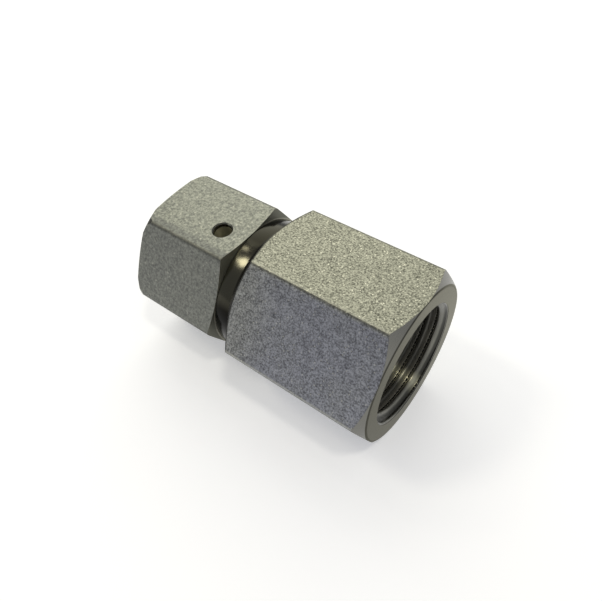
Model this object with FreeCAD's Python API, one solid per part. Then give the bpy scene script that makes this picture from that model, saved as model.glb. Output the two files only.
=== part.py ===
import FreeCAD, Part
import math
import os

# Gauge adapter: a body with a female gauge port, and a swivel nut held on its cone-nosed stem by a wire.
# Millimetres. The axis lies along X. The origin is the centre of the gauge port's mouth, +X points out of
# the port, the nut is towards -X, and +Z is up. The adapter lies on one flat of the body's hexagon.
# Angles round the axis are in degrees from +Z towards -Y.

# Body hexagon
BODY_ACROSS_FLATS = 27.0
BODY_RIM = 0.1
BODY_EDGE_RADIUS = 0.6
BODY_CHAMFER_ANGLE = 32.0

# Gauge port, G 1/2
PORT_THREAD_MAJOR = 20.955
PORT_MOUTH_CHAMFER = 0.15
PORT_THREAD_LENGTH = 17.6
PORT_RELIEF_DEPTH = 0.2
PORT_RELIEF_LENGTH = 3.4
PORT_FLOOR_THICKNESS = 5.35

# Turned shoulder that the nut's rear face turns against
SHOULDER_DIAMETER = 23.8
SHOULDER_LENGTH = 4.0
SHOULDER_EDGE_CHAMFER = 0.1
SHOULDER_ROOT_BEVEL = 1.35
NUT_END_GAP = 0.05

# Stem that carries the nut
STEM_DIAMETER = 16.5
STEM_CLEARANCE = 0.05
STEM_BEYOND_WIRE = 3.6
STEM_EDGE_CHAMFER = 0.4

# Cone nose for 12 mm tube, 24 degrees included, and the bore through it
CONE_ANGLE = 24.0
CONE_BASE_DIAMETER = 14.6
CONE_LENGTH = 7.0
CONE_TIP_CHAMFER = 0.3
FLOW_BORE_DIAMETER = 8.0
FLOW_BORE_CHAMFER = 0.5

# O-ring on the cone
O_RING_SECTION = 1.5
O_RING_FROM_TIP = 2.9
O_RING_STANDOUT = 0.18
O_RING_SEAT_GAP = 0.02
O_RING_GROOVE_SPARE = 0.3

# Swivel nut, M20x1.5. The corners are chamfered at its rear and rounded at its open front end.
NUT_ACROSS_FLATS = 24.0
NUT_EDGE_RADIUS = 1.0
NUT_REAR_RIM = 0.05
NUT_REAR_CHAMFER_ANGLE = 18.0
NUT_FRONT_ROUNDING = 2.0
NUT_FRONT_CROWN_DIAMETER = 27.5
NUT_THREAD_MAJOR = 20.0
NUT_THREAD_LENGTH = 8.0
NUT_REAR_BORE_LENGTH = 8.0
NUT_REAR_BORE_CHAMFER = 0.25
NUT_MOUTH_CHAMFER = 0.4
NUT_TURN = 6.8

# Retaining wire, fed in through a hole in one flat of the nut
WIRE_DIAMETER = 2.0
WIRE_CLEARANCE = 0.1
WIRE_FROM_NUT_REAR = 4.7
WIRE_TAIL_ANGLE = 17.0
WIRE_SWEEP = 330.0
WIRE_HOOK_LENGTH = 2.6
WIRE_HOOK_BEND = 1.5
WIRE_HOLE_DIAMETER = 3.1
WIRE_HOLE_OFFSET = 1.9
WIRE_HOLE_CHAMFER = 0.2

# How far cutting shapes run past the face that they open
OVERRUN = 1.0

# The thin rings' round sections are regular outlines whose flats touch the true circle
SECTION_SIDES = 8

# The nut's rounded front end is turned in straight steps
ROUNDING_STEPS = 3

# Radii that mating pieces share
port_thread_radius = PORT_THREAD_MAJOR / 2
nut_thread_radius = NUT_THREAD_MAJOR / 2
stem_radius = STEM_DIAMETER / 2
nut_bore_radius = stem_radius + STEM_CLEARANCE
wire_ring_radius = (stem_radius + nut_bore_radius) / 2
wire_radius = WIRE_DIAMETER / 2
wire_groove_radius = wire_radius + WIRE_CLEARANCE
wire_start_angle = WIRE_TAIL_ANGLE - WIRE_SWEEP
flow_bore_radius = FLOW_BORE_DIAMETER / 2
cone_slope = math.tan(math.radians(CONE_ANGLE / 2))
cone_base_radius = CONE_BASE_DIAMETER / 2
cone_tip_radius = cone_base_radius - CONE_LENGTH * cone_slope

# Stations along the axis, from the port's mouth to the nose
port_floor_x = -(PORT_THREAD_LENGTH + PORT_RELIEF_LENGTH)
hexagon_end_x = port_floor_x - PORT_FLOOR_THICKNESS
shoulder_end_x = hexagon_end_x - SHOULDER_LENGTH
nut_rear_x = shoulder_end_x - NUT_END_GAP
wire_x = nut_rear_x - WIRE_FROM_NUT_REAR
stem_end_x = wire_x - STEM_BEYOND_WIRE
cone_tip_x = stem_end_x - CONE_LENGTH
o_ring_x = cone_tip_x + O_RING_FROM_TIP

# Stations in the nut, from its rear bore to its open end
nut_bore_end_x = nut_rear_x - NUT_REAR_BORE_LENGTH
nut_thread_start_x = nut_bore_end_x - (nut_thread_radius - nut_bore_radius)
nut_thread_end_x = nut_thread_start_x - NUT_THREAD_LENGTH
nut_front_x = nut_thread_end_x - NUT_MOUTH_CHAMFER

ORIGIN = FreeCAD.Vector(0, 0, 0)
X_AXIS = FreeCAD.Vector(1, 0, 0)


def around(x, radius, angle):
    """Point at a station, a radius and an angle round the axis."""
    turn = math.radians(angle)
    return FreeCAD.Vector(x, -radius * math.sin(turn), radius * math.cos(turn))


def turned(outline):
    """Solid turned about the axis from an outline of (station, radius) corners."""
    corners = [FreeCAD.Vector(x, radius, 0) for x, radius in outline]
    face = Part.Face(Part.makePolygon(corners + corners[:1]))
    return face.revolve(ORIGIN, X_AXIS, 360)


def hexagon_bar(across_flats, edge_radius, low_x, high_x):
    """Length of hexagon bar with rounded long edges and one flat up."""
    corner_radius = across_flats / math.sqrt(3)
    corners = [around(low_x, corner_radius, 30 + 60 * side) for side in range(6)]
    face = Part.Face(Part.makePolygon(corners + corners[:1]))
    bar = face.extrude(FreeCAD.Vector(high_x - low_x, 0, 0))
    long_edges = [edge for edge in bar.Edges if abs(edge.tangentAt(edge.FirstParameter).x) > 0.5]
    return bar.makeFillet(edge_radius, long_edges)


def chamfered(bar, across_flats, end_x, inward, rim, angle):
    """Hexagon bar whose corners are turned off at one end.

    The end face's circle lies a rim inside the flats, and the chamfer's angle is from that face.
    """
    reach = across_flats
    circle = across_flats / 2 - rim
    rise = (reach - circle) * math.tan(math.radians(angle))
    cutter = turned([
        (end_x - inward * OVERRUN, circle),
        (end_x, circle),
        (end_x + inward * rise, reach),
        (end_x - inward * OVERRUN, reach),
    ])
    return bar.cut(cutter)


def rounded_front(bar, front_x, crown_radius, rounding):
    """Hexagon bar whose corners are rounded at its front end, down from a crown circle."""
    turn_x = front_x + rounding
    face_radius = crown_radius - rounding
    reach = 2 * crown_radius
    turns = [math.pi / 2 * step / ROUNDING_STEPS for step in range(ROUNDING_STEPS + 1)]
    arc = [(turn_x - rounding * math.cos(turn), face_radius + rounding * math.sin(turn)) for turn in turns]
    cutter = turned([(front_x - OVERRUN, face_radius), *arc, (turn_x, reach), (front_x - OVERRUN, reach)])
    return bar.cut(cutter)


def round_section(centre, radius, outward):
    """Face of a thin ring's section, square to the ring, from its centre and its outward direction."""
    corner_radius = radius / math.cos(math.pi / SECTION_SIDES)
    turns = [2 * math.pi * (side + 0.5) / SECTION_SIDES for side in range(SECTION_SIDES)]
    corners = [centre + (outward * math.cos(turn) + X_AXIS * math.sin(turn)) * corner_radius
               for turn in turns]
    return Part.Face(Part.makePolygon(corners + corners[:1]))


def ring(x, ring_radius, radius, start_angle=0, sweep=360):
    """Ring of round section about the axis, or a part of one from a start angle."""
    section = round_section(around(x, ring_radius, start_angle), radius, around(0, 1, start_angle))
    return section.revolve(ORIGIN, X_AXIS, sweep)


def wire_groove():
    """Full groove round the wire, half of it in the stem and half in the nut."""
    return ring(wire_x, wire_ring_radius, wire_groove_radius)


def hooked_end(radius, tip_clearance):
    """The wire's inward hook, or with a larger radius the pocket that takes it."""
    outward = around(0, 1, wire_start_angle)
    along = X_AXIS.cross(outward)
    start = around(wire_x, wire_ring_radius, wire_start_angle)
    bend_centre = start - outward * WIRE_HOOK_BEND
    bend = round_section(start, radius, outward).revolve(bend_centre, X_AXIS, -90)
    pin_start = bend_centre - along * WIRE_HOOK_BEND
    pin_length = WIRE_HOOK_LENGTH - WIRE_HOOK_BEND + tip_clearance
    pin = round_section(pin_start, radius, along).extrude(outward * -pin_length)
    return bend.fuse(pin)


def port_hollow():
    """Thread wall, relief and flat floor of the gauge port, with the flow bore behind them."""
    mouth_radius = port_thread_radius + PORT_MOUTH_CHAMFER
    relief_radius = port_thread_radius + PORT_RELIEF_DEPTH
    return turned([
        (OVERRUN, 0),
        (OVERRUN, mouth_radius + OVERRUN),
        (-PORT_MOUTH_CHAMFER, port_thread_radius),
        (-PORT_THREAD_LENGTH, port_thread_radius),
        (-PORT_THREAD_LENGTH - PORT_RELIEF_DEPTH, relief_radius),
        (port_floor_x, relief_radius),
        (port_floor_x, flow_bore_radius + FLOW_BORE_CHAMFER),
        (port_floor_x - FLOW_BORE_CHAMFER, flow_bore_radius),
        (cone_tip_x + CONE_TIP_CHAMFER, flow_bore_radius),
        (cone_tip_x - OVERRUN, flow_bore_radius + CONE_TIP_CHAMFER + OVERRUN),
        (cone_tip_x - OVERRUN, 0),
    ])


def stem_and_nose():
    """Shoulder, stem and cone nose, from inside the hexagon to the tip."""
    shoulder_radius = SHOULDER_DIAMETER / 2
    return turned([
        (port_floor_x, 0),
        (port_floor_x, shoulder_radius + SHOULDER_ROOT_BEVEL),
        (hexagon_end_x, shoulder_radius + SHOULDER_ROOT_BEVEL),
        (hexagon_end_x - SHOULDER_ROOT_BEVEL, shoulder_radius),
        (shoulder_end_x + SHOULDER_EDGE_CHAMFER, shoulder_radius),
        (shoulder_end_x, shoulder_radius - SHOULDER_EDGE_CHAMFER),
        (shoulder_end_x, stem_radius),
        (stem_end_x + STEM_EDGE_CHAMFER, stem_radius),
        (stem_end_x, stem_radius - STEM_EDGE_CHAMFER),
        (stem_end_x, cone_base_radius),
        (cone_tip_x + CONE_TIP_CHAMFER, cone_tip_radius + CONE_TIP_CHAMFER * cone_slope),
        (cone_tip_x, cone_tip_radius - CONE_TIP_CHAMFER),
        (cone_tip_x, 0),
    ])


def o_ring_centre_radius():
    """Radius of the O-ring's own circle, from how far it stands out of the cone."""
    cone_radius = cone_tip_radius + O_RING_FROM_TIP * cone_slope
    return cone_radius + O_RING_STANDOUT - O_RING_SECTION / 2


def o_ring_groove():
    """Square groove in the cone for the O-ring."""
    floor_radius = o_ring_centre_radius() - O_RING_SECTION / 2 - O_RING_SEAT_GAP
    half_width = (O_RING_SECTION + O_RING_GROOVE_SPARE) / 2
    return turned([
        (o_ring_x - half_width, floor_radius),
        (o_ring_x + half_width, floor_radius),
        (o_ring_x + half_width, stem_radius + OVERRUN),
        (o_ring_x - half_width, stem_radius + OVERRUN),
    ])


def adapter_body():
    """Hexagon, shoulder, stem and nose in one piece."""
    body = hexagon_bar(BODY_ACROSS_FLATS, BODY_EDGE_RADIUS, hexagon_end_x, 0)
    for end_x, inward in ((hexagon_end_x, 1), (0, -1)):
        body = chamfered(body, BODY_ACROSS_FLATS, end_x, inward, BODY_RIM, BODY_CHAMFER_ANGLE)
    body = body.fuse(stem_and_nose())
    pocket = hooked_end(wire_groove_radius, WIRE_CLEARANCE)
    for hollow in (port_hollow(), o_ring_groove(), wire_groove(), pocket):
        body = body.cut(hollow)
    return body


def wire_hole():
    """Hole drilled square to the nut's top flat, beside its centre line, down into the wire groove."""
    flat_height = NUT_ACROSS_FLATS / 2
    radius = WIRE_HOLE_DIAMETER / 2
    drill_end = nut_bore_radius - wire_groove_radius
    up = FreeCAD.Vector(0, 0, 1)
    foot = FreeCAD.Vector(wire_x, -WIRE_HOLE_OFFSET, drill_end)
    drill = Part.makeCylinder(radius, flat_height - drill_end + OVERRUN, foot, up)
    rim_foot = FreeCAD.Vector(wire_x, -WIRE_HOLE_OFFSET, flat_height - WIRE_HOLE_CHAMFER)
    rim_top = radius + WIRE_HOLE_CHAMFER + OVERRUN
    rim = Part.makeCone(radius, rim_top, WIRE_HOLE_CHAMFER + OVERRUN, rim_foot, up)
    return drill.fuse(rim)


def swivel_nut():
    """Nut with its plain rear bore, wire groove, thread wall and wire hole."""
    nut = hexagon_bar(NUT_ACROSS_FLATS, NUT_EDGE_RADIUS, nut_front_x, nut_rear_x)
    nut = chamfered(nut, NUT_ACROSS_FLATS, nut_rear_x, -1, NUT_REAR_RIM, NUT_REAR_CHAMFER_ANGLE)
    nut = rounded_front(nut, nut_front_x, NUT_FRONT_CROWN_DIAMETER / 2, NUT_FRONT_ROUNDING)
    mouth_radius = nut_thread_radius + NUT_MOUTH_CHAMFER
    hollow = turned([
        (nut_rear_x + OVERRUN, 0),
        (nut_rear_x + OVERRUN, nut_bore_radius + NUT_REAR_BORE_CHAMFER + OVERRUN),
        (nut_rear_x - NUT_REAR_BORE_CHAMFER, nut_bore_radius),
        (nut_bore_end_x, nut_bore_radius),
        (nut_thread_start_x, nut_thread_radius),
        (nut_thread_end_x, nut_thread_radius),
        (nut_front_x - OVERRUN, mouth_radius + OVERRUN),
        (nut_front_x - OVERRUN, 0),
    ])
    for cutter in (hollow, wire_groove(), wire_hole()):
        nut = nut.cut(cutter)
    nut.rotate(ORIGIN, X_AXIS, NUT_TURN)
    return nut


def retaining_wire():
    """Open ring of round wire that lies in both half-grooves, hooked into the stem at one end."""
    loop = ring(wire_x, wire_ring_radius, wire_radius, wire_start_angle, WIRE_SWEEP)
    return loop.fuse(hooked_end(wire_radius, 0))


def cone_o_ring():
    """Soft seal in the cone's groove."""
    return ring(o_ring_x, o_ring_centre_radius(), O_RING_SECTION / 2)


PIECES = {
    "adapter_body": adapter_body,
    "swivel_nut": swivel_nut,
    "retaining_wire": retaining_wire,
    "cone_o_ring": cone_o_ring,
}

os.makedirs("parts", exist_ok=True)
for name, make in PIECES.items():
    piece = make()
    piece.exportStep("parts/" + name + ".step")
    box = piece.BoundBox
    print(name, piece.ShapeType, "solids", len(piece.Solids), "valid", piece.isValid(),
          "volume", round(piece.Volume, 2), "x", round(box.XMin, 3), round(box.XMax, 3))
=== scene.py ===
import math
from collections import namedtuple

import bmesh
import bpy
from mathutils import Matrix, Vector


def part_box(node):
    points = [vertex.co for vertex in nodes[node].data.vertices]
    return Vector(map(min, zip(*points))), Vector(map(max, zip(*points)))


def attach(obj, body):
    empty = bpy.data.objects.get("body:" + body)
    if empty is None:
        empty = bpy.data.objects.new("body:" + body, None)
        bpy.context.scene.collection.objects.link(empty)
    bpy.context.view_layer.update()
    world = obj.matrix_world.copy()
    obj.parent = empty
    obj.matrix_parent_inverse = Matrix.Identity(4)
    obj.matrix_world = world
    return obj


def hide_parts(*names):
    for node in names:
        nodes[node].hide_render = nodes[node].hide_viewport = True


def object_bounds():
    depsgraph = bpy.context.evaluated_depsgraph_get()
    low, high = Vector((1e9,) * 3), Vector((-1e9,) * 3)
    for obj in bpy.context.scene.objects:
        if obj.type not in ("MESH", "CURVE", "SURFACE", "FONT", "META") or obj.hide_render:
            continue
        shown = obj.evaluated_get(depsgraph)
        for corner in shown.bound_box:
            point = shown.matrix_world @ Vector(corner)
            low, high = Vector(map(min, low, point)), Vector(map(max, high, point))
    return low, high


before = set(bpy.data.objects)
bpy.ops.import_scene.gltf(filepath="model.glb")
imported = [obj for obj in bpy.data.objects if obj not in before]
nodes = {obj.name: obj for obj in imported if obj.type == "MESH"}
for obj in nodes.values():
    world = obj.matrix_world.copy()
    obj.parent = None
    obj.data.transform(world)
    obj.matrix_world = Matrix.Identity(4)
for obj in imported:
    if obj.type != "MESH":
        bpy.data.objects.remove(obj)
cad_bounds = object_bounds()

# The model is in metres. Values below are in millimetres and degrees, and the functions convert them.
# The adapter's axis lies along X, the port's mouth is at X = 0, and the nut is towards -X.
# A station is a place on the axis, and a turn is an angle round it, from the top towards the front.
MM = 0.001
DEGREE = math.radians(1.0)

# Camera at the photograph's place, which looks down on the port's end from the front
CAMERA_TARGET = (-25.0, 0.0, 0.0)
CAMERA_AZIMUTH = 37.697
CAMERA_ELEVATION = 46.683
CAMERA_ROLL = -0.701
CAMERA_DISTANCE = 96.716
CAMERA_RIGHT = 2.644
CAMERA_UP = -2.309
PHOTO_WIDTH = 602
PHOTO_HEIGHT = 601
FOCAL_PIXELS = 561.693
OPTICAL_AXIS_PIXEL = (301.678, 309.166)
SENSOR_WIDTH = 36.0
CLIP_START = 5.0
CLIP_END = 20000.0

# Internal thread of the gauge port, G 1/2, and of the swivel nut, M20x1.5: diameters, pitch, end stations and
# turn of the start. With a steepness of 1 the flanks are a plain zigzag. The sleeve that carries a thread is
# sunk slightly into the bore.
Thread = namedtuple("Thread", "major minor pitch ends turn")
PORT_THREAD = Thread(20.955, 18.631, 1.814, (-17.6, -0.15), -83.0)
NUT_THREAD = Thread(20.0, 18.376, 1.5, (-48.1, -40.1), 0.0)
THREAD_STEEPNESS = 1.5
THREAD_SINK = 0.02
THREAD_COLUMNS = 160
THREAD_ROWS_PER_PITCH = 14
WELD_DISTANCE = 0.0005

# Retaining wire: turn of its loose tail, its sweep round the stem, and the hook at its other end
WIRE_TAIL_TURN = 17.0
WIRE_SWEEP = 330.0
WIRE_HOOK_LENGTH = 2.6
WIRE_HOOK_BEND = 1.5

# Fineness of the round wire and the round O-ring
WIRE_STEPS = 160
BEND_STEPS = 12
O_RING_STEPS = 160
TUBE_SIDES = 32

# Colours and spans that several finishes share. Most of a noise lies between the two noise levels.
BLACK = (0.0, 0.0, 0.0, 1.0)
WHITE = (1.0, 1.0, 1.0, 1.0)
RISING = (0.0, 1.0)
FALLING = (1.0, 0.0)
NOISE_LEVELS = (0.3, 0.7)

# Noise by the size of its lumps, and relief by its strength and depth
Noise = namedtuple("Noise", "size detail roughness")
Relief = namedtuple("Relief", "strength depth")

# Grain of the drawn flats, with dark pits, and bright glints that are painted highlights; their sizes are in
# sizes of the grain
Speck = namedtuple("Speck", "size levels share colour")
PITS = Speck(1.3, (0.08, 0.3), 0.5, (0.06, 0.06, 0.05, 1))
GLINTS = Speck(2.6, (0.08, 0.2), 0.6, (0.72, 0.7, 0.58, 1))
COARSE_GRAIN = Noise(1.2, 3.0, 0.6)
COARSE_GRAIN_SHARE = 0.4
GRAIN_LEVELS = (0.42, 0.98)
GLINT_ROUGHNESS = 0.28
FLAT_ROUGHNESS = (0.44, 0.56)
PIT_HEIGHT = 0.4
ZINC_RELIEF = Relief(0.6, 0.07)

# Where a surface counts as a flat: depths under its middle, and how far it may face along the axis
FLAT_DEPTHS = (0.6, 0.4)
FLAT_FACING = (0.06, 0.2)

# Painted shade of the front flats, a darker copy of the plain colour that is bluer on the body: turns where
# it begins and ends, stations over which it grows towards the port, its patches, and how much of the relief
# it hides
FRONT_SHADE_BEGIN = (29.0, 33.0)
FRONT_SHADE_END = (140.0, 170.0)
FRONT_SHADE_STATIONS = (-25.0, -17.0)
FRONT_SHADE_PATCHES = Noise(7.0, 2.0, 0.5)
FRONT_SHADE_PATCH_LEVELS = (0.3, 0.6)
FRONT_SHADE_PATCH_SHARES = (0.88, 1.0)
FRONT_SHADE_CALM = 0.45

# Fine rings of the turned faces. The drift is how far the noise moves for each radian round the axis.
RINGS = Noise(0.09, 2.0, 0.6)
RING_DRIFT = 0.4
RING_ROUGHNESS = (0.17, 0.24)
RING_HEIGHT = 0.04

# Painted shade on turned faces, by the way that they face: share of the colour that is left, by turn
NO_TURN_SHADE = ()
NECK_PAINTED_SHADE = ((-180.0, 0.35), (-3.0, 0.46), (5.0, 0.38), (10.0, 0.33), (28.0, 1.0), (58.0, 1.0),
             (72.0, 0.1), (80.0, 0.02), (120.0, 0.02), (180.0, 0.35))
NUT_REAR_PAINTED_SHADE = ((-180.0, 0.25), (0.0, 0.25), (18.0, 0.8), (45.0, 0.75), (58.0, 1.0), (75.0, 0.25),
                 (180.0, 0.25))
PORT_RIM_PAINTED_SHADE = ((-180.0, 1.0), (-32.0, 1.0), (-14.0, 0.46), (110.0, 0.46), (140.0, 1.0), (180.0, 1.0))

# Turned faces with a colour of their own, by spans of stations and radii. The colours are painted light and
# shade: the deep bore, the nut's rear, its rear face and its wire hole are lighter, as painted light, and the
# port's face, its rim and the neck are darker, as painted shade. Grazing is the colour of the shine where the
# face is seen almost edge on, darkened on the port's face and rim as painted shade.
Zone = namedtuple("Zone", "stations radii colour roughness film grazing")
PAINTED_SHADE_SHINE = (0.74, 0.73, 0.66, 1.0)
PORT_FACE = Zone((-0.08, 1.0), (10.0, 13.5), (0.085, 0.084, 0.076, 1), 0.22, NO_TURN_SHADE, PAINTED_SHADE_SHINE)
PORT_RIM = Zone((-0.3, 0.05), (13.22, 13.62), (0.14, 0.138, 0.12, 1), 0.4, PORT_RIM_PAINTED_SHADE, PAINTED_SHADE_SHINE)
NECK = Zone((-30.38, -26.3), (11.0, 13.3), (0.073, 0.07, 0.054, 1), 0.17, NECK_PAINTED_SHADE, WHITE)
DEEP_BORE = Zone((-26.0, -17.0), (0.0, 10.9), (0.5, 0.49, 0.43, 1), 0.5, NO_TURN_SHADE, WHITE)
NUT_REAR = Zone((-31.2, -30.44), (11.5, 14.5), (0.62, 0.62, 0.51, 1), 0.42, NUT_REAR_PAINTED_SHADE, WHITE)
NUT_REAR_FACE = Zone((-30.44, -30.3), (8.5, 14.5), (0.42, 0.41, 0.34, 1), 0.5, NO_TURN_SHADE, WHITE)
WIRE_HOLE = Zone((-36.9, -33.3), (8.0, 11.3), (0.72, 0.7, 0.56, 1), 0.45, NO_TURN_SHADE, WHITE)
ZONE_BLUR = 0.04

# Crown of the neck along the axis: station of its middle, and fall at 1 mm from there
NECK_CROWN_X = -28.45
NECK_CROWN_FALL = 0.026

# Painted highlights and painted shade in lines on the flats along the long edges: colour, share, and the
# widths between which they fade
EdgeLine = namedtuple("EdgeLine", "colour share widths")
EDGE_PAINTED_HIGHLIGHT = (0.5, 0.5, 0.43, 1)
EDGE_PAINTED_SHADE = (0.1, 0.1, 0.09, 1)
EDGE_WOBBLE = Noise(0.5, 2.0, 0.5)
EDGE_WOBBLE_WIDTH = 0.3
HEXAGON_STEP = 60.0

# Dark lines of painted shade on the body's flats along its chamfered ends: station of the end, side it faces,
# width and share
EndLine = namedtuple("EndLine", "station side width share")
END_SHADE_COLOUR = (0.03, 0.03, 0.026, 1)
END_LINE_FADE = (0.6, 1.4)
BODY_RIM_RADIUS = 13.4
BODY_CHAMFER_ANGLE = 32.0

# Plating of the body and of the nut. Plain and tinted are pairs of a dark and a light colour, tinted being
# the painted shade of the front flats, far front shade is its share away from the port, and edges are the
# painted lines before and after each long edge.
Hexagon = namedtuple("Hexagon", "across_flats turn")
Plating = namedtuple("Plating", "hexagon plain tinted far_tint grain relief edges end_lines turned zones")
BODY_PLATING = Plating(
    hexagon=Hexagon(27.0, 0.0),
    plain=((0.078, 0.079, 0.064, 1), (0.5, 0.501, 0.413, 1)),
    tinted=((0.11, 0.112, 0.127, 1), (0.385, 0.396, 0.448, 1)),
    far_tint=0.6,
    grain=Noise(0.28, 2.0, 0.65),
    relief=1.0,
    edges=(EdgeLine(EDGE_PAINTED_HIGHLIGHT, 0.35, (0.3, 0.5)), EdgeLine(EDGE_PAINTED_SHADE, 0.65, (0.2, 0.5))),
    end_lines=(EndLine(0.0, 1.0, 0.12, 0.18), EndLine(-26.35, -1.0, 0.19, 0.85)),
    turned=(0.175, 0.173, 0.157, 1),
    zones=(PORT_FACE, PORT_RIM, NECK, DEEP_BORE))
NUT_PLATING = Plating(
    hexagon=Hexagon(24.0, 6.8),
    plain=((0.15, 0.155, 0.142, 1), (0.4, 0.409, 0.351, 1)),
    tinted=((0.13, 0.134, 0.125, 1), (0.276, 0.283, 0.257, 1)),
    far_tint=1.0,
    grain=Noise(0.42, 2.0, 0.65),
    relief=0.5,
    edges=(EdgeLine(EDGE_PAINTED_SHADE, 0.75, (0.12, 0.42)), EdgeLine(EDGE_PAINTED_SHADE, 0.7, (0.2, 0.5))),
    end_lines=(),
    turned=(0.13, 0.128, 0.105, 1),
    zones=(NUT_REAR, NUT_REAR_FACE, WIRE_HOLE))

# Plated threads: crests and roots by radius, the lighter roots being painted light, bands of painted light
# and painted shade along the port's helix near its mouth, each from the stations where it takes over at the
# top, and a painted highlight by turn
THREAD_CREST_COLOUR = (0.12, 0.117, 0.102, 1)
THREAD_ROOT_PAINTED_LIGHT = (0.3, 0.29, 0.25, 1)
THREAD_ROOT_RADII = (9.5, 10.3)
THREAD_MOUTH_PAINTED_LIGHT = (0.225, 0.223, 0.195, 1)
THREAD_LIP_PAINTED_SHADE = (0.06, 0.06, 0.052, 1)
THREAD_BANDS = (((-2.55, -2.1), THREAD_MOUTH_PAINTED_LIGHT),
                ((-2.05, -1.8), THREAD_LIP_PAINTED_SHADE),
                ((-1.35, -1.1), THREAD_MOUTH_PAINTED_LIGHT))
THREAD_PAINTED_HIGHLIGHT_COLOUR = (0.5, 0.49, 0.37, 1)
THREAD_PAINTED_HIGHLIGHT = ((0.0, 0.0), (190.0, 0.0), (201.0, 0.65), (206.0, 0.65), (213.0, 0.0), (360.0, 0.0))
THREAD_MARKS = Noise(0.1, 2.0, 0.6)
THREAD_MARK_DRIFT = 0.6
THREAD_MOTTLE = Noise(1.6, 3.0, 0.6)
THREAD_MOTTLE_SHARES = (0.12, 0.0)
THREAD_ROUGHNESS = (0.33, 0.42)
THREAD_METALLIC = 0.7
THREAD_ANISOTROPY = 0.85
THREAD_ANISOTROPY_TURN = 0.25
THREAD_RELIEF = Relief(0.5, 0.03)

# Drawn wire
WIRE_COLOURS = ((0.30, 0.29, 0.26, 1), (0.42, 0.41, 0.37, 1))
WIRE_STREAKS = Noise(0.12, 3.0, 0.6)
WIRE_STREAK_DRIFT = 1.0
WIRE_ROUGHNESS = (0.28, 0.4)
WIRE_RELIEF = Relief(0.3, 0.01)

# Seal rubber
RUBBER_COLOURS = ((0.012, 0.012, 0.013, 1), (0.028, 0.028, 0.03, 1))
RUBBER_BLOOM = Noise(1.5, 3.0, 0.6)
RUBBER_BLOOM_LEVELS = (0.35, 0.75)
RUBBER_ROUGHNESS = (0.42, 0.56)
RUBBER_SKIN = Noise(0.12, 2.0, 0.5)
RUBBER_RELIEF = Relief(0.2, 0.01)

# Floor and light from all sides
FLOOR_SIZE = 6000.0
FLOOR_COLOUR = (0.80, 0.805, 0.845, 1.0)
FLOOR_ROUGHNESS = 0.9
FLOOR_SPECULAR = 0.2
FLOOR_GLOW = 0.35
WORLD_COLOUR = (0.97, 0.985, 1.0, 1.0)
WORLD_STRENGTH = 0.4

# Square lamps that face the neck: direction from it, distance, side length, brightness of the face and colour
Lamp = namedtuple("Lamp", "name direction distance size brightness colour")
NECK_PLACE = (-28.5, -5.0, 10.0)
LAMPS = (
    Lamp("back_softbox", (-0.45, 0.653, 0.609), 600.0, 600.0, 1.5, (1.0, 0.98, 0.84)),
    Lamp("key_softbox", (-0.523, -0.33, 0.786), 500.0, 100.0, 14.5, (1.0, 0.95, 0.76)),
    Lamp("high_lamp", (-0.625, 0.02, 0.78), 500.0, 50.0, 9.0, (1.0, 0.95, 0.78)),
    Lamp("port_lamp", (0.322, -0.166, 0.932), 489.0, 50.0, 50.0, (1.0, 0.95, 0.8)))

# Sockets of the Mix node by what it mixes: first input, second input and output
MIX_SOCKETS = {"RGBA": (6, 7, 2), "FLOAT": (2, 3, 0)}


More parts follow.
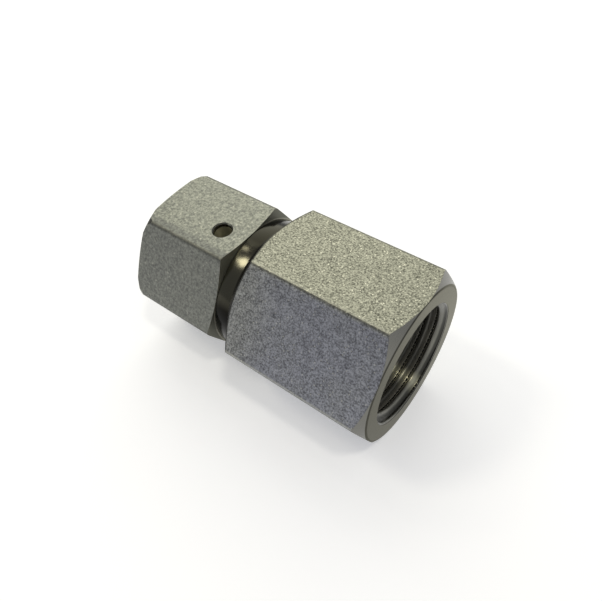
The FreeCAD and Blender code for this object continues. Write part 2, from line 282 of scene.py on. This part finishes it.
class Tree:
    """Short calls for building one node tree."""

    def __init__(self, tree):
        self.tree = tree

    def feed(self, socket, value):
        """Links a socket to another, or sets its own value."""
        if isinstance(value, bpy.types.NodeSocket):
            self.tree.links.new(value, socket)
        else:
            socket.default_value = value

    def fill(self, node, values):
        """Feeds a node's inputs by name."""
        for name, value in values.items():
            self.feed(node.inputs[name], value)

    def add(self, kind, values=None, **settings):
        """Adds a node with its settings and input values."""
        node = self.tree.nodes.new(kind)
        for name, setting in settings.items():
            setattr(node, name, setting)
        self.fill(node, values or {})
        return node

    def coordinates(self, kind):
        """Object coordinates are the place in the model, and Normal is the way that the surface faces."""
        return self.add("ShaderNodeTexCoord").outputs[kind]

    def parts(self, vector):
        """X, Y and Z of a vector."""
        return self.add("ShaderNodeSeparateXYZ", {"Vector": vector}).outputs

    def vector(self, x, y, z):
        """Vector from three numbers or sockets."""
        return self.add("ShaderNodeCombineXYZ", {"X": x, "Y": y, "Z": z}).outputs[0]

    def math(self, operation, *values):
        """Arithmetic on numbers or sockets."""
        node = self.add("ShaderNodeMath", operation=operation)
        for socket, value in zip(node.inputs, values):
            self.feed(socket, value)
        return node.outputs[0]

    def span(self, value, ends, onto=RISING, unit=1.0):
        """Maps a value's span, whose ends are in a unit, smoothly onto another span."""
        node = self.add("ShaderNodeMapRange", interpolation_type="SMOOTHSTEP", values={
            "Value": value, "From Min": ends[0] * unit, "From Max": ends[1] * unit,
            "To Min": onto[0], "To Max": onto[1]})
        return node.outputs[0]

    def noise(self, place, pattern):
        """Level of a noise at a place."""
        node = self.add("ShaderNodeTexNoise", {
            "Vector": place, "Scale": 1.0 / (pattern.size * MM), "Detail": pattern.detail,
            "Roughness": pattern.roughness})
        return node.outputs[0]

    def cells(self, place, size):
        """Distance from the middle of small irregular cells."""
        node = self.add("ShaderNodeTexVoronoi", {"Vector": place, "Scale": 1.0 / (size * MM)})
        return node.outputs["Distance"]

    def mix(self, share, first, second, kind="RGBA"):
        """Colour between two colours."""
        first_input, second_input, output = MIX_SOCKETS[kind]
        node = self.add("ShaderNodeMix", {"Factor": share}, data_type=kind)
        self.feed(node.inputs[first_input], first)
        self.feed(node.inputs[second_input], second)
        return node.outputs[output]

    def blend(self, share, first, second):
        """Number between two numbers."""
        return self.mix(share, first, second, "FLOAT")

    def ramp(self, value, stops):
        """Level that runs through stops of a place from 0 to 1 and a level."""
        node = self.add("ShaderNodeValToRGB", {"Fac": value})
        elements = node.color_ramp.elements
        for place, _ in stops[1:-1]:
            elements.new(place)
        for element, (place, level) in zip(elements, stops):
            element.position = place
            element.color = (level, level, level, 1.0)
        return node.outputs[0]

    def bump(self, height, strength, depth, normal=None):
        """Normal of a surface with a relief, which may lie on another relief."""
        node = self.add("ShaderNodeBump", {"Height": height, "Strength": strength, "Distance": depth * MM})
        if normal is not None:
            self.feed(node.inputs["Normal"], normal)
        return node.outputs[0]


def new_material(name):
    """Empty node material, with its tree and its surface shader."""
    made = bpy.data.materials.new(name)
    made.use_nodes = True
    return made, Tree(made.node_tree), made.node_tree.nodes["Principled BSDF"]


# A place in the model, its station, its radius and its angle round the axis, from the top towards the back
Measures = namedtuple("Measures", "place x radius angle")


def axis_measures(tree):
    """Measures of the place that is shaded."""
    place = tree.coordinates("Object")
    x, y, z = tree.parts(place)
    radius = tree.math("SQRT", tree.math("ADD", tree.math("MULTIPLY", y, y), tree.math("MULTIPLY", z, z)))
    return Measures(place, x, radius, tree.math("ARCTAN2", y, z))


def turned_noise(tree, at, pattern, drift):
    """Noise drawn out round the axis, like the marks of a turning tool."""
    return tree.noise(tree.vector(at.x, at.radius, tree.math("MULTIPLY", at.angle, drift * MM)), pattern)


def flat_mask(tree, at, hexagon):
    """1 on the hexagon's flats, and 0 on the faces that are turned."""
    half = hexagon.across_flats / 2
    outside = tree.span(at.radius, [half - depth for depth in FLAT_DEPTHS], unit=MM)
    along = tree.math("ABSOLUTE", tree.parts(tree.coordinates("Normal"))[0])
    return tree.math("MULTIPLY", outside, tree.span(along, FLAT_FACING, FALLING))


def front_shade_share(tree, at, turn, far_tint):
    """Share of the painted shade, which lies on the front flats in patches and grows towards the port."""
    on_front = tree.span(turn, FRONT_SHADE_BEGIN, unit=DEGREE)
    not_under = tree.span(turn, FRONT_SHADE_END, FALLING, DEGREE)
    towards_port = tree.span(at.x, FRONT_SHADE_STATIONS, (far_tint, 1.0), MM)
    patchy = tree.span(tree.noise(at.place, FRONT_SHADE_PATCHES), FRONT_SHADE_PATCH_LEVELS, FRONT_SHADE_PATCH_SHARES)
    return tree.math("MULTIPLY", tree.math("MULTIPLY", on_front, not_under),
                     tree.math("MULTIPLY", towards_port, patchy))


def edge_masks(tree, at, turn, plating):
    """Masks of the painted line before each long edge and of the painted line after it, slightly uneven."""
    half_step = HEXAGON_STEP / 2
    from_corner = tree.math("ADD", turn, (360.0 + half_step - plating.hexagon.turn) * DEGREE)
    on_flat = tree.math("MODULO", from_corner, HEXAGON_STEP * DEGREE)
    from_middle = tree.math("SUBTRACT", on_flat, half_step * DEGREE)
    aside = tree.math("MULTIPLY", at.radius, tree.math("SINE", from_middle))
    wobble = tree.math("MULTIPLY", tree.math("SUBTRACT", tree.noise(at.place, EDGE_WOBBLE), 0.5),
                       EDGE_WOBBLE_WIDTH * MM)
    corner = plating.hexagon.across_flats / 2 * math.tan(half_step * DEGREE) * MM
    before = tree.math("ADD", tree.math("SUBTRACT", corner, aside), wobble)
    after = tree.math("ADD", tree.math("ADD", corner, aside), wobble)
    return [tree.span(distance, line.widths, (line.share, 0.0), MM)
            for distance, line in zip((before, after), plating.edges)]


def end_line_mask(tree, at, line):
    """Mask of a thin line of painted shade on the flats along a chamfered end of the body."""
    from_end = tree.math("MULTIPLY", tree.math("SUBTRACT", line.station * MM, at.x), line.side)
    rise = tree.math("SUBTRACT", BODY_RIM_RADIUS * MM, at.radius)
    inside = tree.math("ADD", from_end, tree.math("MULTIPLY", rise, math.tan(BODY_CHAMFER_ANGLE * DEGREE)))
    return tree.span(inside, [fade * line.width for fade in END_LINE_FADE], (line.share, 0.0), MM)


def flat_finish(tree, at, turn, plating):
    """Colour, roughness and height of the drawn flats, with their grain, painted glints, the painted shade of
    the front flats, and painted lines at the edges.
    """
    coarse = tree.noise(at.place, COARSE_GRAIN)
    grain = tree.noise(at.place, plating.grain)
    pit_cells = tree.cells(at.place, PITS.size * plating.grain.size)
    glint_cells = tree.cells(at.place, GLINTS.size * plating.grain.size)
    front_shade = front_shade_share(tree, at, turn, plating.far_tint)
    calm = tree.math("SUBTRACT", plating.relief, tree.math("MULTIPLY", front_shade, plating.relief * FRONT_SHADE_CALM))
    pits = tree.math("MULTIPLY", tree.span(pit_cells, PITS.levels, FALLING), calm)
    glints = tree.math("MULTIPLY", tree.span(glint_cells, GLINTS.levels, FALLING), calm)

    both = tree.math("ADD", grain, tree.math("MULTIPLY", coarse, COARSE_GRAIN_SHARE))
    light = tree.span(both, GRAIN_LEVELS)
    colour = tree.mix(front_shade, tree.mix(light, *plating.plain), tree.mix(light, *plating.tinted))
    # The glints are painted highlights: lighter, smoother specks in the grain.
    for mask, speck in ((pits, PITS), (glints, GLINTS)):
        colour = tree.mix(tree.math("MULTIPLY", mask, speck.share), colour, speck.colour)
    for line in plating.end_lines:
        colour = tree.mix(end_line_mask(tree, at, line), colour, END_SHADE_COLOUR)
    for mask, line in zip(edge_masks(tree, at, turn, plating), plating.edges):
        colour = tree.mix(mask, colour, line.colour)

    roughness = tree.blend(glints, tree.span(coarse, NOISE_LEVELS, FLAT_ROUGHNESS), GLINT_ROUGHNESS)
    height = tree.math("ADD", grain, tree.math("MULTIPLY", pit_cells, PIT_HEIGHT))
    return colour, roughness, tree.math("MULTIPLY", height, calm)


def zone_mask(tree, at, zone):
    """1 where a place lies in the zone's span of stations and its span of radii."""
    mask = 1.0
    for value, (low, high) in ((at.x, zone.stations), (at.radius, zone.radii)):
        above = tree.span(value, (low - ZONE_BLUR, low + ZONE_BLUR), unit=MM)
        below = tree.span(value, (high - ZONE_BLUR, high + ZONE_BLUR), FALLING, MM)
        mask = tree.math("MULTIPLY", tree.math("MULTIPLY", above, below), mask)
    return mask


def shaded_by_turn(tree, turn, colour, film):
    """Colour under painted shade that changes round the axis."""
    if not film:
        return colour
    place = tree.math("ADD", tree.math("MULTIPLY", turn, 0.5 / math.pi), 0.5)
    left = tree.ramp(place, [(0.5 + stop / 360.0, level) for stop, level in film])
    return tree.mix(left, BLACK, colour)


def turned_finish(tree, at, turn, plating):
    """Colour, roughness, height and shine colour of the turned faces: fine rings, and the zones with their
    painted light and shade.
    """
    rings = turned_noise(tree, at, RINGS, RING_DRIFT)
    colour = plating.turned
    roughness = tree.span(rings, NOISE_LEVELS, RING_ROUGHNESS)
    shine_tint = WHITE
    for zone in plating.zones:
        mask = zone_mask(tree, at, zone)
        colour = tree.mix(mask, colour, shaded_by_turn(tree, turn, zone.colour, zone.film))
        roughness = tree.blend(mask, roughness, zone.roughness)
        if zone.grazing != WHITE:
            shine_tint = tree.mix(mask, shine_tint, zone.grazing)
    return colour, roughness, tree.math("MULTIPLY", rings, RING_HEIGHT), shine_tint


def neck_crown(tree, at, normal):
    """Normal on the neck, which bulges slightly along the axis."""
    offset = tree.math("SUBTRACT", tree.math("DIVIDE", at.x, MM), NECK_CROWN_X)
    height = tree.math("MULTIPLY", tree.math("MULTIPLY", offset, offset), -1.0)
    return tree.bump(height, zone_mask(tree, at, NECK), NECK_CROWN_FALL, normal)


def zinc_material(name, plating):
    """Plated steel: grainy drawn flats with painted highlights and painted shade along the long edges, and
    smooth turned faces with painted light and shade in zones.
    """
    made, tree, surface = new_material(name)
    at = axis_measures(tree)
    turn = tree.math("MULTIPLY", at.angle, -1.0)
    flat = flat_mask(tree, at, plating.hexagon)
    flat_colour, flat_roughness, flat_height = flat_finish(tree, at, turn, plating)
    turned_colour, turned_roughness, turned_height, shine_tint = turned_finish(tree, at, turn, plating)
    normal = tree.bump(tree.blend(flat, turned_height, flat_height), *ZINC_RELIEF)
    if NECK in plating.zones:
        normal = neck_crown(tree, at, normal)
    tree.fill(surface, {
        "Base Color": tree.mix(flat, turned_colour, flat_colour),
        "Metallic": 1.0,
        "Roughness": tree.blend(flat, turned_roughness, flat_roughness),
        "Specular Tint": shine_tint,
        "Normal": normal})
    return made


def thread_material():
    """Plated thread, whose fine turned grooves spread the shine along the axis, with painted light, painted
    shade and a painted highlight.
    """
    made, tree, surface = new_material("zinc_thread")
    at = axis_measures(tree)
    marks = turned_noise(tree, at, THREAD_MARKS, THREAD_MARK_DRIFT)
    # Roots lighter than crests: painted light where the thread's shade falls
    in_root = tree.span(at.radius, THREAD_ROOT_RADII, unit=MM)
    colour = tree.mix(in_root, THREAD_CREST_COLOUR, THREAD_ROOT_PAINTED_LIGHT)
    turns = tree.math("DIVIDE", at.angle, -2.0 * math.pi)
    turn_share = tree.math("MODULO", tree.math("ADD", turns, 1.0), 1.0)
    along_helix = tree.math("SUBTRACT", at.x, tree.math("MULTIPLY", turn_share, PORT_THREAD.pitch * MM))
    # Bands of painted light and painted shade along the helix near the port's mouth
    for stations, band_colour in THREAD_BANDS:
        colour = tree.mix(tree.span(along_helix, stations, unit=MM), colour, band_colour)
    # Painted highlight on the thread, by turn
    painted_highlight = tree.ramp(turn_share, [(stop / 360.0, level) for stop, level in THREAD_PAINTED_HIGHLIGHT])
    colour = tree.mix(painted_highlight, colour, THREAD_PAINTED_HIGHLIGHT_COLOUR)
    mottle = tree.span(tree.noise(at.place, THREAD_MOTTLE), NOISE_LEVELS, THREAD_MOTTLE_SHARES)
    tree.fill(surface, {
        "Base Color": tree.mix(mottle, colour, BLACK),
        "Metallic": THREAD_METALLIC,
        "Roughness": tree.span(marks, NOISE_LEVELS, THREAD_ROUGHNESS),
        "Anisotropic": THREAD_ANISOTROPY,
        "Anisotropic Rotation": THREAD_ANISOTROPY_TURN,
        "Tangent": tree.add("ShaderNodeTangent", direction_type="RADIAL", axis="X").outputs[0],
        "Normal": tree.bump(marks, *THREAD_RELIEF)})
    return made


def wire_material():
    """Drawn spring wire, darker than the plating."""
    made, tree, surface = new_material("wire_steel")
    streaks = turned_noise(tree, axis_measures(tree), WIRE_STREAKS, WIRE_STREAK_DRIFT)
    tree.fill(surface, {
        "Base Color": tree.mix(tree.span(streaks, NOISE_LEVELS), *WIRE_COLOURS),
        "Metallic": 1.0,
        "Roughness": tree.span(streaks, NOISE_LEVELS, WIRE_ROUGHNESS),
        "Normal": tree.bump(streaks, *WIRE_RELIEF)})
    return made


def rubber_material():
    """Black seal rubber with a soft sheen and a faint bloom."""
    made, tree, surface = new_material("seal_rubber")
    place = tree.coordinates("Object")
    bloom = tree.noise(place, RUBBER_BLOOM)
    tree.fill(surface, {
        "Base Color": tree.mix(tree.span(bloom, RUBBER_BLOOM_LEVELS), *RUBBER_COLOURS),
        "Roughness": tree.span(bloom, NOISE_LEVELS, RUBBER_ROUGHNESS),
        "Normal": tree.bump(tree.noise(place, RUBBER_SKIN), *RUBBER_RELIEF)})
    return made


def floor_material():
    """Plain pale matt floor, which the camera and the metal see as white with the shadow on it."""
    made, tree, surface = new_material("floor_white")
    path = tree.add("ShaderNodeLightPath").outputs
    seen = tree.math("MAXIMUM", path["Is Camera Ray"],
                     tree.math("MAXIMUM", path["Is Glossy Ray"], path["Is Transmission Ray"]))
    tree.fill(surface, {
        "Base Color": FLOOR_COLOUR,
        "Roughness": FLOOR_ROUGHNESS,
        "Specular IOR Level": FLOOR_SPECULAR,
        "Emission Color": WHITE,
        "Emission Strength": tree.math("MULTIPLY", seen, FLOOR_GLOW)})
    return made


def piece_from(name, form, material, body):
    """Smooth shaded object, made from a form, that rides on a body."""
    bmesh.ops.recalc_face_normals(form, faces=form.faces)
    mesh = bpy.data.meshes.new(name)
    form.to_mesh(mesh)
    form.free()
    for face in mesh.polygons:
        face.use_smooth = True
    mesh.materials.append(material)
    made = bpy.data.objects.new(name, mesh)
    bpy.context.scene.collection.objects.link(made)
    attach(made, body)
    return made


def around(x, radius, turn):
    """Point at a station, a radius and a turn."""
    return Vector((x, -radius * math.sin(turn * DEGREE), radius * math.cos(turn * DEGREE)))


def thread_height(phase):
    """Height of a rounded thread from root to crest, 0 to 1, at a share of the pitch."""
    zigzag = 1.0 - abs(2.0 * (phase % 1.0) - 1.0)
    clipped = min(max(0.5 + THREAD_STEEPNESS * (zigzag - 0.5), 0.0), 1.0)
    return 0.5 - 0.5 * math.cos(math.pi * clipped)


def thread_radius(thread, x, share):
    """Radius of a right-handed thread at a station and a share of a turn, with a countersink at each end."""
    low_x, high_x = thread.ends
    major_radius = thread.major / 2
    depth = (thread.major - thread.minor) / 2
    radius = major_radius - depth * thread_height(x / thread.pitch - share)
    return max(radius, major_radius - (high_x - x), major_radius - (x - low_x))


def thread_form(thread):
    """Closed sleeve that lines a bore, with the thread inside and a plain wall outside."""
    low_x, high_x = thread.ends
    outer_radius = thread.major / 2 + THREAD_SINK
    rows = THREAD_ROWS_PER_PITCH * (math.ceil((high_x - low_x) / thread.pitch) + 1)
    form = bmesh.new()
    columns = []
    for column in range(THREAD_COLUMNS + 1):
        share = column / THREAD_COLUMNS
        turn = 360.0 * share + thread.turn
        points = [(low_x, outer_radius)]
        # The rows follow the helix, and those past an end are drawn back to it.
        for row in range(rows + 1):
            raw_x = low_x + thread.pitch * (row / THREAD_ROWS_PER_PITCH - 1 + share)
            x = min(max(raw_x, low_x), high_x)
            points.append((x, thread_radius(thread, x, share)))
        points.append((high_x, outer_radius))
        columns.append([form.verts.new(around(x * MM, radius * MM, turn)) for x, radius in points])
    # A column is a closed profile, whose last point joins its first.
    for left, right in zip(columns, columns[1:]):
        for row in range(len(left)):
            form.faces.new((left[row - 1], left[row], right[row], right[row - 1]))
    bmesh.ops.remove_doubles(form, verts=form.verts, dist=WELD_DISTANCE * MM)
    return form


def tube_form(points, radius, closed):
    """Round tube along points that lie in one plane square to the axis."""
    form = bmesh.new()
    along_x = Vector((1, 0, 0))
    count = len(points)
    loops = []
    for index, point in enumerate(points):
        if closed:
            before, after = points[index - 1], points[(index + 1) % count]
        else:
            before, after = points[max(index - 1, 0)], points[min(index + 1, count - 1)]
        sideways = (after - before).normalized().cross(along_x)
        loops.append([form.verts.new(point + (sideways * math.cos(turn) + along_x * math.sin(turn)) * radius)
                      for turn in (2 * math.pi * side / TUBE_SIDES for side in range(TUBE_SIDES))])
    pairs = list(zip(loops, loops[1:]))
    if closed:
        pairs.append((loops[-1], loops[0]))
    for low, high in pairs:
        for side in range(TUBE_SIDES):
            form.faces.new((low[side - 1], low[side], high[side], high[side - 1]))
    if not closed:
        form.faces.new(loops[0])
        form.faces.new(list(reversed(loops[-1])))
    return form


def ring_sizes(node):
    """Station, ring radius and section radius of a thin ring, in metres, from its box."""
    low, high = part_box(node)
    section_radius = (high.x - low.x) / 2
    return (low.x + high.x) / 2, high.z - section_radius, section_radius


def wire_route(x, ring_radius):
    """Points of the wire from its loose tail round to its hooked end."""
    points = [around(x, ring_radius, WIRE_TAIL_TURN - WIRE_SWEEP * step / WIRE_STEPS)
              for step in range(WIRE_STEPS + 1)]
    outward = around(0, 1, WIRE_TAIL_TURN - WIRE_SWEEP)
    backward = outward.cross(Vector((1, 0, 0)))
    bend_radius = WIRE_HOOK_BEND * MM
    bend_centre = points[-1] - outward * bend_radius
    for step in range(1, BEND_STEPS + 1):
        turn = math.pi / 2 * step / BEND_STEPS
        points.append(bend_centre + (outward * math.cos(turn) + backward * math.sin(turn)) * bend_radius)
    points.append(points[-1] - outward * (WIRE_HOOK_LENGTH * MM - bend_radius))
    return points


def add_camera():
    """Camera that frames the adapter as the photograph does."""
    azimuth = CAMERA_AZIMUTH * DEGREE
    elevation = CAMERA_ELEVATION * DEGREE
    back = Vector((math.sin(azimuth) * math.cos(elevation),
                   -math.cos(azimuth) * math.cos(elevation),
                   math.sin(elevation)))
    right = Vector((0, 0, 1)).cross(back).normalized()
    up = back.cross(right)
    roll = Matrix.Rotation(CAMERA_ROLL * DEGREE, 3, back)
    right, up = roll @ right, roll @ up
    data = bpy.data.cameras.new("camera")
    data.sensor_width = SENSOR_WIDTH
    data.lens = SENSOR_WIDTH * FOCAL_PIXELS / PHOTO_WIDTH
    data.shift_x = (PHOTO_WIDTH / 2 - OPTICAL_AXIS_PIXEL[0]) / PHOTO_WIDTH
    data.shift_y = (OPTICAL_AXIS_PIXEL[1] - PHOTO_HEIGHT / 2) / PHOTO_WIDTH
    data.clip_start = CLIP_START * MM
    data.clip_end = CLIP_END * MM
    camera = bpy.data.objects.new("camera", data)
    bpy.context.scene.collection.objects.link(camera)
    place = Vector(CAMERA_TARGET) + back * CAMERA_DISTANCE + right * CAMERA_RIGHT + up * CAMERA_UP
    camera.matrix_world = Matrix.Translation(place * MM) @ Matrix((right, up, back)).transposed().to_4x4()
    bpy.context.scene.camera = camera


def add_lamp(lamp):
    """Square soft lamp that faces the neck."""
    direction = Vector(lamp.direction)
    side = lamp.size * MM
    data = bpy.data.lights.new(lamp.name, "AREA")
    data.shape = "SQUARE"
    data.size = side
    data.energy = lamp.brightness * math.pi * side * side
    data.color = lamp.colour
    made = bpy.data.objects.new(lamp.name, data)
    bpy.context.scene.collection.objects.link(made)
    made.location = (Vector(NECK_PLACE) + direction.normalized() * lamp.distance) * MM
    made.rotation_euler = direction.to_track_quat("Z", "Y").to_euler()


def add_floor(height):
    """Pale floor under the adapter."""
    bpy.ops.mesh.primitive_plane_add(size=FLOOR_SIZE * MM, location=(0, 0, height))
    floor = bpy.context.object
    floor.name = "floor"
    floor.data.materials.append(floor_material())


def add_world():
    """Soft grey light from all sides."""
    world = bpy.data.worlds.new("studio")
    world.use_nodes = True
    bpy.context.scene.world = world
    background = world.node_tree.nodes["Background"]
    background.inputs["Color"].default_value = WORLD_COLOUR
    background.inputs["Strength"].default_value = WORLD_STRENGTH


body_zinc = zinc_material("zinc_body", BODY_PLATING)
nut_zinc = zinc_material("zinc_nut", NUT_PLATING)
thread_zinc = thread_material()
wire_steel = wire_material()
seal_rubber = rubber_material()

for node_name, material in (("adapter_body", body_zinc), ("swivel_nut", nut_zinc),
                            ("retaining_wire", wire_steel), ("cone_o_ring", seal_rubber)):
    nodes[node_name].data.materials.clear()
    nodes[node_name].data.materials.append(material)

piece_from("port_thread", thread_form(PORT_THREAD), thread_zinc, "adapter")
piece_from("nut_thread", thread_form(NUT_THREAD), thread_zinc, "nut")

wire_x, wire_ring_radius, wire_radius = ring_sizes("retaining_wire")
wire_form = tube_form(wire_route(wire_x, wire_ring_radius), wire_radius, closed=False)
round_wire = piece_from("round_wire", wire_form, wire_steel, "adapter")
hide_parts("retaining_wire")

seal_x, seal_ring_radius, seal_radius = ring_sizes("cone_o_ring")
seal_route = [around(seal_x, seal_ring_radius, 360.0 * step / O_RING_STEPS) for step in range(O_RING_STEPS)]
round_seal = piece_from("round_seal", tube_form(seal_route, seal_radius, closed=True),
                        seal_rubber, "adapter")
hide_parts("cone_o_ring")

add_camera()
add_floor(cad_bounds[0][2])
add_world()
for lamp in LAMPS:
    add_lamp(lamp)

bpy.context.scene.view_settings.view_transform = "Standard"
